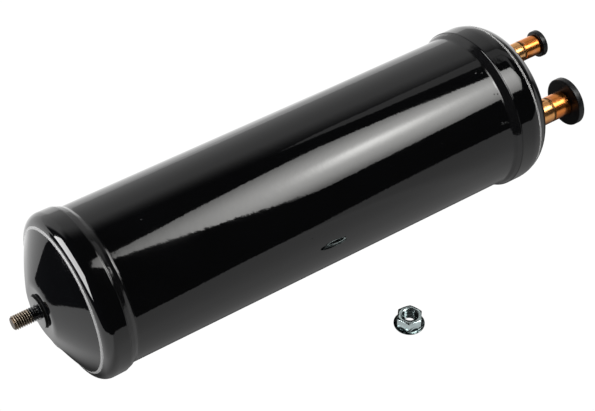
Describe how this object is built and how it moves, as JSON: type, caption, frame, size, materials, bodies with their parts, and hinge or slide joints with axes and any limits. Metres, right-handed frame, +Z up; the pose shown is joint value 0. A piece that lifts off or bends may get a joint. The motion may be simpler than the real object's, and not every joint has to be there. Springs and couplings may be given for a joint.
{
  "type": "refrigerant suction accumulator",
  "caption": "Gloss-black welded steel refrigerant accumulator with capped copper stubs at one end, an M8 mounting stud at the other and its loose flange nut beside it.",
  "frame": {"origin": "on the table, at the middle of the footprint of the vessel and its nut", "axes": "+X along the vessel from the mounting stud to the copper stubs, +Z up from the table, the loose nut on the -Y side"},
  "size_m": [0.3568, 0.1352, 0.0937],
  "materials": {
    "black_paint": "gloss",
    "bare_steel": "dark phosphated",
    "copper_plated": "copper plated",
    "braze": "as brazed",
    "copper": "bright copper tube",
    "black_plastic": "moulded",
    "inner_steel": "bare",
    "zinc": "bright zinc plate"
  },
  "bodies": {
    "vessel": {"shell_tube": "black_paint", "stud_end_head": "black_paint", "port_end_head": "black_paint", "stud_end_weld": "black_paint", "port_end_weld": "black_paint", "stud_pad": "black_paint", "mounting_stud": "bare_steel", "small_port_weld": "black_paint", "large_port_weld": "black_paint", "small_ferrule": "copper_plated", "large_ferrule": "copper_plated", "small_braze_ring": "braze", "large_braze_ring": "braze", "small_stub": "copper", "large_stub": "copper", "u_tube": "inner_steel", "u_tube_bracket": "inner_steel", "inlet_deflector": "inner_steel", "oil_nipple": "inner_steel", "oil_screen": "inner_steel", "oil_screen_cap": "inner_steel"},
    "small_plug_body": {"small_plug": "black_plastic"},
    "large_plug_body": {"large_plug": "black_plastic"},
    "nut_body": {"flange_nut": "zinc"}
  },
  "joints": [
    {"name": "small_plug_pull", "type": "slide", "parent": "vessel", "child": "small_plug_body", "axis": [1, 0, 0], "range_m": [0, 0.04]},
    {"name": "large_plug_pull", "type": "slide", "parent": "vessel", "child": "large_plug_body", "axis": [1, 0, 0], "range_m": [0, 0.04]},
    {"name": "nut_lift", "type": "slide", "parent": "vessel", "child": "nut_body", "axis": [0, 0, 1], "range_m": [0, 0.05]}
  ]
}
